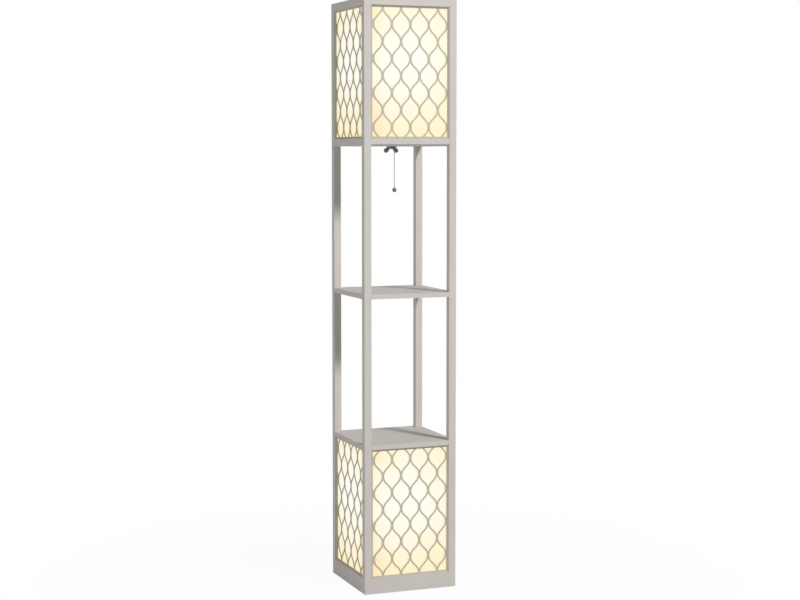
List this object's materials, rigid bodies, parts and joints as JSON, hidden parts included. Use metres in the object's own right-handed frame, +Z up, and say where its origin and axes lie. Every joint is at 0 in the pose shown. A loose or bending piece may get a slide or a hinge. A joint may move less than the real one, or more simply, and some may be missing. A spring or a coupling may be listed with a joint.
{
  "type": "shelf floor lamp",
  "caption": "Square four-post floor lamp with a lit lattice shade box above and below open shelves, a wing nut and a bead pull chain under the upper shelf.",
  "frame": {"origin": "middle of the base's footprint, on the floor", "axes": "+Z up, -Y to the front, +X to the right as seen from the front"},
  "size_m": [0.265, 0.265, 1.6],
  "materials": {
    "frame_paint": "satin warm light grey paint on fibreboard",
    "bead_paint": "satin warm grey paint, a shade darker than the frame",
    "lattice_paint": "satin warm light grey paint on thin board",
    "diffuser": "translucent warm white sheet",
    "beech": "plain",
    "zinc": "zinc plated",
    "dark_metal": "dark grey plated",
    "chain_metal": "nickel plated",
    "holder_plastic": "white moulded",
    "brass": "plain",
    "bulb_cap": "nickelled",
    "bulb_glass": "opal",
    "switch_plastic": "black moulded",
    "lead_plastic": "satin",
    "block_plastic": "satin"
  },
  "bodies": {
    "frame": {"post_front_left": "frame_paint", "post_front_right": "frame_paint", "post_back_left": "frame_paint", "post_back_right": "frame_paint", "top_rail_front": "frame_paint", "top_rail_right": "frame_paint", "top_rail_back": "frame_paint", "top_rail_left": "frame_paint", "base_rail_front": "frame_paint", "base_rail_right": "frame_paint", "base_rail_back": "frame_paint", "base_rail_left": "frame_paint", "upper_shelf": "frame_paint", "middle_shelf": "frame_paint", "lower_shelf": "frame_paint", "base_board": "frame_paint", "lead_cover_strip": "frame_paint", "upper_lattice_front": "lattice_paint", "upper_lattice_right": "lattice_paint", "upper_lattice_back": "lattice_paint", "upper_lattice_left": "lattice_paint", "lower_lattice_front": "lattice_paint", "lower_lattice_right": "lattice_paint", "lower_lattice_back": "lattice_paint", "lower_lattice_left": "lattice_paint", "upper_diffuser_front": "diffuser", "upper_diffuser_right": "diffuser", "upper_diffuser_back": "diffuser", "upper_diffuser_left": "diffuser", "lower_diffuser_front": "diffuser", "lower_diffuser_right": "diffuser", "lower_diffuser_back": "diffuser", "lower_diffuser_left": "diffuser", "panel_beads": "bead_paint", "frame_dowels": "beech", "base_board_screws": "zinc", "holder_stems": "zinc", "lower_stem_nut": "zinc", "switch_bushing": "zinc", "switch_ring_nut": "zinc", "holder_cups": "holder_plastic", "holder_shells": "holder_plastic", "holder_screw_shells": "brass", "holder_contacts": "brass", "switch_body": "switch_plastic", "inner_leads": "lead_plastic", "cord_bush": "lead_plastic", "terminal_block": "block_plastic"},
    "pull_rod": {"pull_rod": "chain_metal"},
    "chain_pivot": {"chain_pivot_bead": "chain_metal"},
    "chain": {"pull_chain": "chain_metal", "pull_knob": "dark_metal"},
    "washer": {"stem_washer": "dark_metal"},
    "wing_nut": {"wing_nut": "dark_metal"},
    "upper_bulb_seat": {"upper_bulb_tip": "brass"},
    "upper_bulb": {"upper_bulb_cap": "bulb_cap", "upper_bulb_globe": "bulb_glass"},
    "lower_bulb_seat": {"lower_bulb_tip": "brass"},
    "lower_bulb": {"lower_bulb_cap": "bulb_cap", "lower_bulb_globe": "bulb_glass"}
  },
  "joints": [
    {"name": "chain_pull", "type": "slide", "parent": "frame", "child": "pull_rod", "axis": [0, 0, -1], "range_m": [0, 0.01], "stiffness_N_per_m": 400, "springref_m": -0.004},
    {"name": "chain_swing_side", "type": "hinge", "parent": "pull_rod", "child": "chain_pivot", "pos_m": [0.0115, 0.02, 1.2015], "axis": [0.6585, 0.7526, 0], "range_deg": [-35, 35]},
    {"name": "chain_swing_out", "type": "hinge", "parent": "chain_pivot", "child": "chain", "pos_m": [0.0115, 0.02, 1.2015], "axis": [0.7526, -0.6585, 0], "range_deg": [-10, 35]},
    {"name": "nut_travel", "type": "slide", "parent": "frame", "child": "washer", "axis": [0, 0, -1], "range_m": [0, 0.00501]},
    {"name": "nut_turn", "type": "hinge", "parent": "washer", "child": "wing_nut", "pos_m": [-0.006, 0, 1.203], "axis": [0, 0, -1], "range_deg": [0, 1800]},
    {"name": "upper_bulb_lift", "type": "slide", "parent": "frame", "child": "upper_bulb_seat", "axis": [0, 0, 1], "range_m": [0, 0.01811]},
    {"name": "upper_bulb_turn", "type": "hinge", "parent": "upper_bulb_seat", "child": "upper_bulb", "pos_m": [-0.006, 0, 1.268], "axis": [0, 0, 1], "range_deg": [0, 1800]},
    {"name": "lower_bulb_lift", "type": "slide", "parent": "frame", "child": "lower_bulb_seat", "axis": [0, 0, 1], "range_m": [0, 0.01811]},
    {"name": "lower_bulb_turn", "type": "hinge", "parent": "lower_bulb_seat", "child": "lower_bulb", "pos_m": [-0.006, 0, 0.07], "axis": [0, 0, 1], "range_deg": [0, 1800]}
  ],
  "couplings": [
    {"joint": "nut_travel", "follows": "nut_turn", "m_per_rad": 0.00015915},
    {"joint": "upper_bulb_lift", "follows": "upper_bulb_turn", "m_per_rad": 0.00057614},
    {"joint": "lower_bulb_lift", "follows": "lower_bulb_turn", "m_per_rad": 0.00057614}
  ]
}
